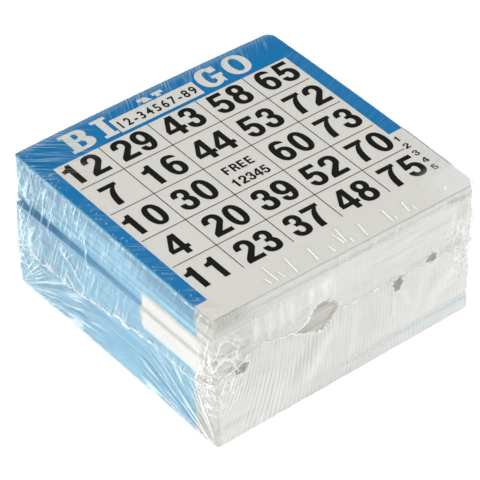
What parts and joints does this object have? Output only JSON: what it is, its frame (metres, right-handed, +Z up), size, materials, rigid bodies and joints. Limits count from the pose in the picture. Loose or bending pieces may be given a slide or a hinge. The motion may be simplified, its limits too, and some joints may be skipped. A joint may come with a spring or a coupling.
{
  "type": "shrink-wrapped pack of bingo cards",
  "caption": "Square pack of loose paper bingo cards, jogged into lifts and held together by a clear shrink film with a trim seal around its sides.",
  "frame": {"origin": "on the base, under the middle of the top card", "axes": "+Z up out of the top card's face, +Y towards its header edge, +X towards its right edge"},
  "size_m": [0.1052, 0.1047, 0.0501],
  "materials": {
    "card_paper": "uncoated, printed blue at the edges",
    "shrink_film": "clear and glossy",
    "seal_bead": "milky weld"
  },
  "bodies": {
    "root": {"top_card": "card_paper", "lift_01": "card_paper", "lift_02": "card_paper", "lift_03": "card_paper", "lift_04": "card_paper", "lift_05": "card_paper", "lift_06": "card_paper", "lift_07": "card_paper", "lift_08": "card_paper", "lift_09": "card_paper", "lift_10": "card_paper", "lift_11": "card_paper", "lift_12": "card_paper", "lift_13": "card_paper", "lift_14": "card_paper", "lift_15": "card_paper", "lift_16": "card_paper", "lift_17": "card_paper", "lift_18": "card_paper", "lift_19": "card_paper", "lift_20": "card_paper", "bottom_card": "card_paper", "upper_film": "shrink_film", "lower_film": "shrink_film", "seal_bead": "seal_bead"}
  },
  "joints": []
}
